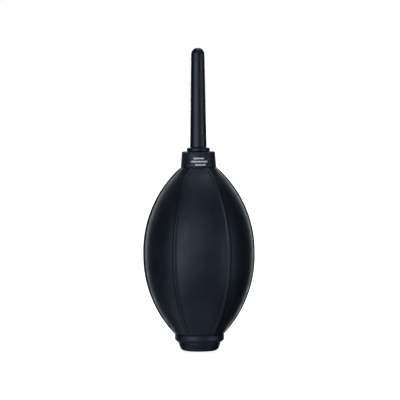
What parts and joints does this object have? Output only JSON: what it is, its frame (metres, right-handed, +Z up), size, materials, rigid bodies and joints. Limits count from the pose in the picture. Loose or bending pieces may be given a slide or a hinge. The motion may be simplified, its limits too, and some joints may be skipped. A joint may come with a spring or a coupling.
{
  "type": "hand dust blower",
  "caption": "Hand-squeezed air blower for dust: a ribbed rubber bulb with a filtered one-way inlet in its base and a one-way outlet under a slim tapered nozzle.",
  "frame": {"origin": "middle of the resting face, under the filter cap", "axes": "+Z up along the bulb's axis, towards the nozzle's tip; -Y is the front, the middle of one gore; +X is the right, along a rib"},
  "size_m": [0.0602, 0.0586, 0.163],
  "materials": {
    "bulb_rubber": "matte",
    "collar_plastic": "satin",
    "socket_plastic": "satin",
    "nozzle_plastic": "satin",
    "base_plastic": "satin",
    "natural_plastic": "satin",
    "valve_silicone": "satin",
    "filter_felt": "matte",
    "screen_steel": "satin",
    "mark_print": "satin"
  },
  "bodies": {
    "root": {"bulb": "bulb_rubber", "neck_collar": "collar_plastic", "outlet_socket": "socket_plastic", "outlet_valve_seat": "natural_plastic", "outlet_valve_cage": "natural_plastic", "inlet_body": "base_plastic", "inlet_valve_cage": "natural_plastic", "filter_pad": "filter_felt", "filter_screen": "screen_steel"},
    "front_panel": {"front_squeeze_panel": "bulb_rubber"},
    "back_panel": {"back_squeeze_panel": "bulb_rubber"},
    "outlet_disc": {"outlet_valve_disc": "valve_silicone"},
    "inlet_disc": {"inlet_valve_disc": "valve_silicone"},
    "nozzle_body": {"nozzle": "nozzle_plastic", "nozzle_seal_ring": "valve_silicone"},
    "cap_body": {"filter_cap": "base_plastic", "filter_cap_seal_ring": "valve_silicone"}
  },
  "joints": [
    {"name": "front_squeeze", "type": "slide", "parent": "root", "child": "front_panel", "axis": [0, 1, 0], "range_m": [0, 0.009], "stiffness_N_per_m": 1200},
    {"name": "back_squeeze", "type": "slide", "parent": "root", "child": "back_panel", "axis": [0, -1, 0], "range_m": [0, 0.009], "stiffness_N_per_m": 1200},
    {"name": "outlet_valve_lift", "type": "slide", "parent": "root", "child": "outlet_disc", "axis": [0, 0, 1], "range_m": [0, 0.0012], "stiffness_N_per_m": 5},
    {"name": "inlet_valve_lift", "type": "slide", "parent": "root", "child": "inlet_disc", "axis": [0, 0, 1], "range_m": [0, 0.0012], "stiffness_N_per_m": 10},
    {"name": "nozzle_pull", "type": "slide", "parent": "root", "child": "nozzle_body", "axis": [0, 0, 1], "range_m": [0, 0.009]},
    {"name": "filter_cap_pull", "type": "slide", "parent": "root", "child": "cap_body", "axis": [0, 0, -1], "range_m": [0, 0.005]}
  ],
  "couplings": [
    {"joint": "back_squeeze", "follows": "front_squeeze", "ratio": 1}
  ]
}
